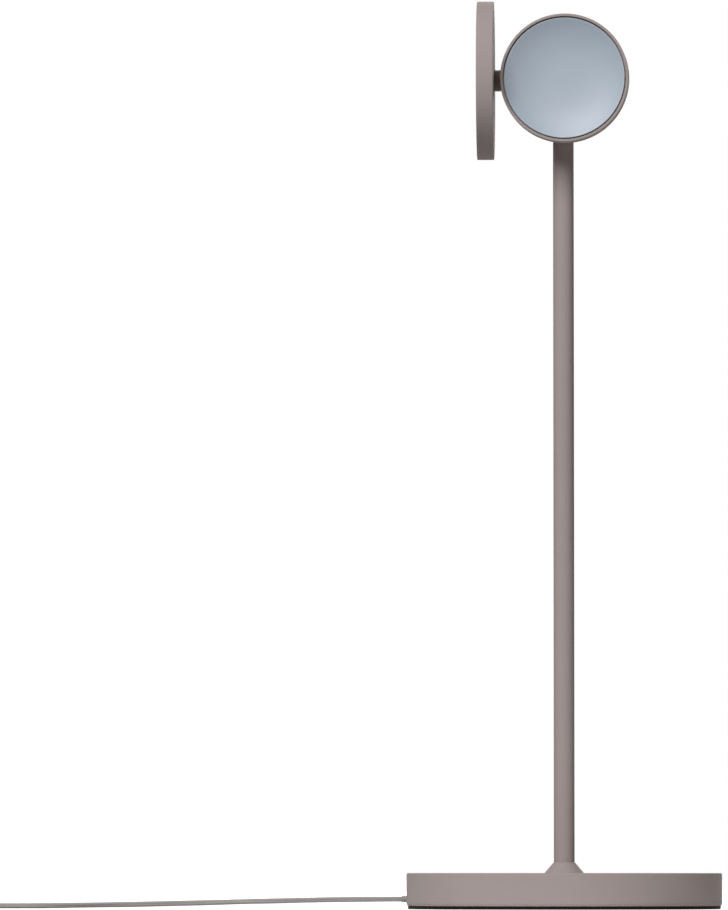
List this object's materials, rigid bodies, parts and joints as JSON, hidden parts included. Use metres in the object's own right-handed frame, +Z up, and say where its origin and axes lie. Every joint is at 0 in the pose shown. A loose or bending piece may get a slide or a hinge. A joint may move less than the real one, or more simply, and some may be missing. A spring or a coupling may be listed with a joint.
{
  "type": "led desk lamp",
  "caption": "Desk lamp with a round weighted base, a slim pole and two flat round LED lamps of unequal size on a swivelling head, with a thin cord and plug-in adapter.",
  "frame": {"origin": "middle of the base's underside, on the table", "axes": "+Z up along the pole, -Y towards the user, where the small lamp faces; the large lamp is on the -X side"},
  "size_m": [0.4231, 0.1743, 0.4477],
  "materials": {
    "taupe_paint": "satin powder coat",
    "black_plastic": "fine matt moulded plastic",
    "foot_rubber": "matt foam rubber",
    "ring_umber": "matt dark taupe ring",
    "opal": "satin opal diffuser",
    "steel": "zinc-plated steel",
    "cast_iron": "raw casting",
    "brass": "turned brass",
    "board_green": "solder mask",
    "board_white": "white solder mask on aluminium",
    "led": "LED package with phosphor",
    "chip_black": "electronic parts",
    "cord_grey": "grey cord jacket",
    "wire_white": "white wire insulation",
    "grommet": "grey-taupe grommet",
    "adapter_black": "black textured housing",
    "tie": "black tie"
  },
  "bodies": {
    "base": {"foot_pad": "foot_rubber", "bottom_plate": "steel", "bottom_screws": "steel", "base_cover": "taupe_paint", "base_weight": "cast_iron", "driver_board": "board_green", "board_parts": "chip_black", "board_screws": "steel", "touch_pad": "steel", "touch_ring": "black_plastic", "touch_contact": "brass", "cord_grommet": "grommet", "cord_clamp": "black_plastic", "clamp_screws": "steel", "inner_lead": "cord_grey", "pole_cone": "taupe_paint", "pole": "taupe_paint", "pole_nipple": "brass", "pole_washer": "steel", "pole_nut": "brass", "pole_wire": "wire_white", "pole_spindle": "steel", "friction_washer": "brass", "spindle_nut": "steel", "cord_run": "cord_grey", "cord_coil": "cord_grey", "coil_ties": "tie", "adapter_case": "adapter_black", "adapter_lid": "adapter_black", "adapter_blades": "steel", "adapter_relief": "adapter_black", "adapter_board": "board_green"},
    "head": {"head_hub": "black_plastic", "hub_cap": "black_plastic", "arm_wire": "wire_white", "hinge_pin": "steel", "hinge_washers": "brass"},
    "large_lamp": {"large_housing": "taupe_paint", "large_led_board": "board_white", "large_leds": "led", "large_board_screws": "steel", "large_mount_screws": "steel", "large_retainer": "ring_umber", "large_diffuser": "opal", "large_knuckle": "black_plastic"},
    "small_lamp": {"small_housing": "taupe_paint", "small_led_board": "board_white", "small_leds": "led", "small_board_screws": "steel", "small_mount_screws": "steel", "small_retainer": "ring_umber", "small_diffuser": "opal", "small_bracket": "black_plastic"}
  },
  "joints": [
    {"name": "head_swivel", "type": "hinge", "parent": "base", "child": "head", "pos_m": [0, 0, 0.3941], "axis": [0, 0, 1], "range_deg": [-165, 165]},
    {"name": "large_tilt", "type": "hinge", "parent": "head", "child": "large_lamp", "pos_m": [-0.026, 0, 0.4086], "axis": [0, 1, 0], "range_deg": [-15, 15]},
    {"name": "small_pan", "type": "hinge", "parent": "head", "child": "small_lamp", "pos_m": [0, 0, 0.3941], "axis": [0, 0, 1], "range_deg": [-1.5, 180]}
  ]
}
